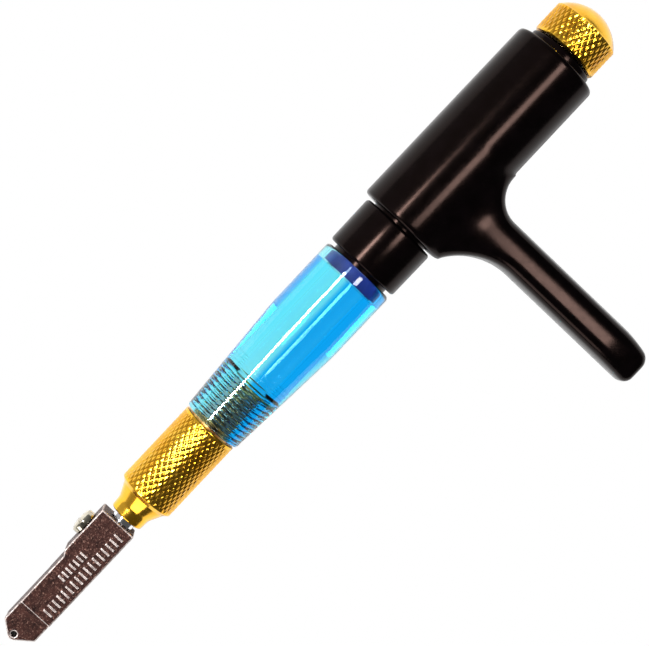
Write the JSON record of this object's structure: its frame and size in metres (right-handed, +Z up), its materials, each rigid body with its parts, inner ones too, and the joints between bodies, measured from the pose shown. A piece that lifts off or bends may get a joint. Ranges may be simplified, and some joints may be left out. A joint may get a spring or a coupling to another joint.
{
  "type": "glass cutter",
  "caption": "Oil-fed glass cutter: cutting wheel in a swivelling head on a sprung stem, knurled ferrule, clear barrel with a domed filler cap, and a swivelling saddle grip with a side arm.",
  "frame": {"origin": "under the middle of the tool's box, on the table that the tool lies on", "axes": "+X along the tool from the cutting wheel to the filler cap, -Y towards the saddle's arm, +Z up, out of the head's front face"},
  "size_m": [0.1518, 0.057, 0.0172],
  "materials": {
    "cast": "sintered steel, dark reddish brown, speckled",
    "carbide": "ground carbide",
    "steel": "bright steel",
    "nickel": "nickel plated",
    "chrome": "bright chrome",
    "brass": "bright, partly knurled",
    "acrylic": "clear blue, polished",
    "black_plastic": "satin black",
    "rubber": "matt black"
  },
  "bodies": {
    "barrel": {"barrel": "acrylic", "ferrule": "brass", "valve_seat": "brass", "stem_seal": "rubber", "return_spring": "steel", "grip_sleeve": "black_plastic"},
    "stem": {"stem": "chrome", "valve_poppet": "steel", "poppet_seal": "rubber"},
    "head": {"head_body": "cast", "wheel_axle": "steel"},
    "wheel": {"cutting_wheel": "carbide"},
    "head_screw": {"head_screw": "nickel"},
    "lock_collar": {"lock_collar": "black_plastic"},
    "saddle": {"saddle": "black_plastic"},
    "cap_gasket": {"cap_gasket": "rubber"},
    "filler_cap": {"filler_cap": "brass"}
  },
  "joints": [
    {"name": "stem_plunge", "type": "slide", "parent": "barrel", "child": "stem", "axis": [1, 0, 0], "range_m": [0, 0.0008], "stiffness_N_per_m": 400, "springref_m": -0.01, "deforming": ["return_spring"]},
    {"name": "head_swivel", "type": "hinge", "parent": "stem", "child": "head", "pos_m": [-0.05173, 0.01992, 0.0086], "axis": [1, 0, 0], "range_deg": [-12, 12]},
    {"name": "wheel_spin", "type": "hinge", "parent": "head", "child": "wheel", "pos_m": [-0.07462, 0.02038, 0.0086], "axis": [0, 0, 1], "continuous": true},
    {"name": "head_screw_turn", "type": "hinge", "parent": "head", "child": "head_screw", "pos_m": [-0.05173, 0.02413, 0.0086], "axis": [0, 1, 0], "range_deg": [0, 180]},
    {"name": "collar_turn", "type": "hinge", "parent": "barrel", "child": "lock_collar", "pos_m": [0.01988, 0.01992, 0.0086], "axis": [1, 0, 0], "range_deg": [-90, 0]},
    {"name": "saddle_turn", "type": "hinge", "parent": "barrel", "child": "saddle", "pos_m": [0.04512, 0.01992, 0.0086], "axis": [1, 0, 0], "continuous": true},
    {"name": "cap_lift", "type": "slide", "parent": "barrel", "child": "cap_gasket", "axis": [1, 0, 0], "range_m": [0, 0.0045]},
    {"name": "cap_turn", "type": "hinge", "parent": "cap_gasket", "child": "filler_cap", "pos_m": [0.07147, 0.01992, 0.0086], "axis": [1, 0, 0], "range_deg": [0, 1600]}
  ],
  "couplings": [
    {"joint": "cap_lift", "follows": "cap_turn", "m_per_rad": 0.00015915}
  ]
}
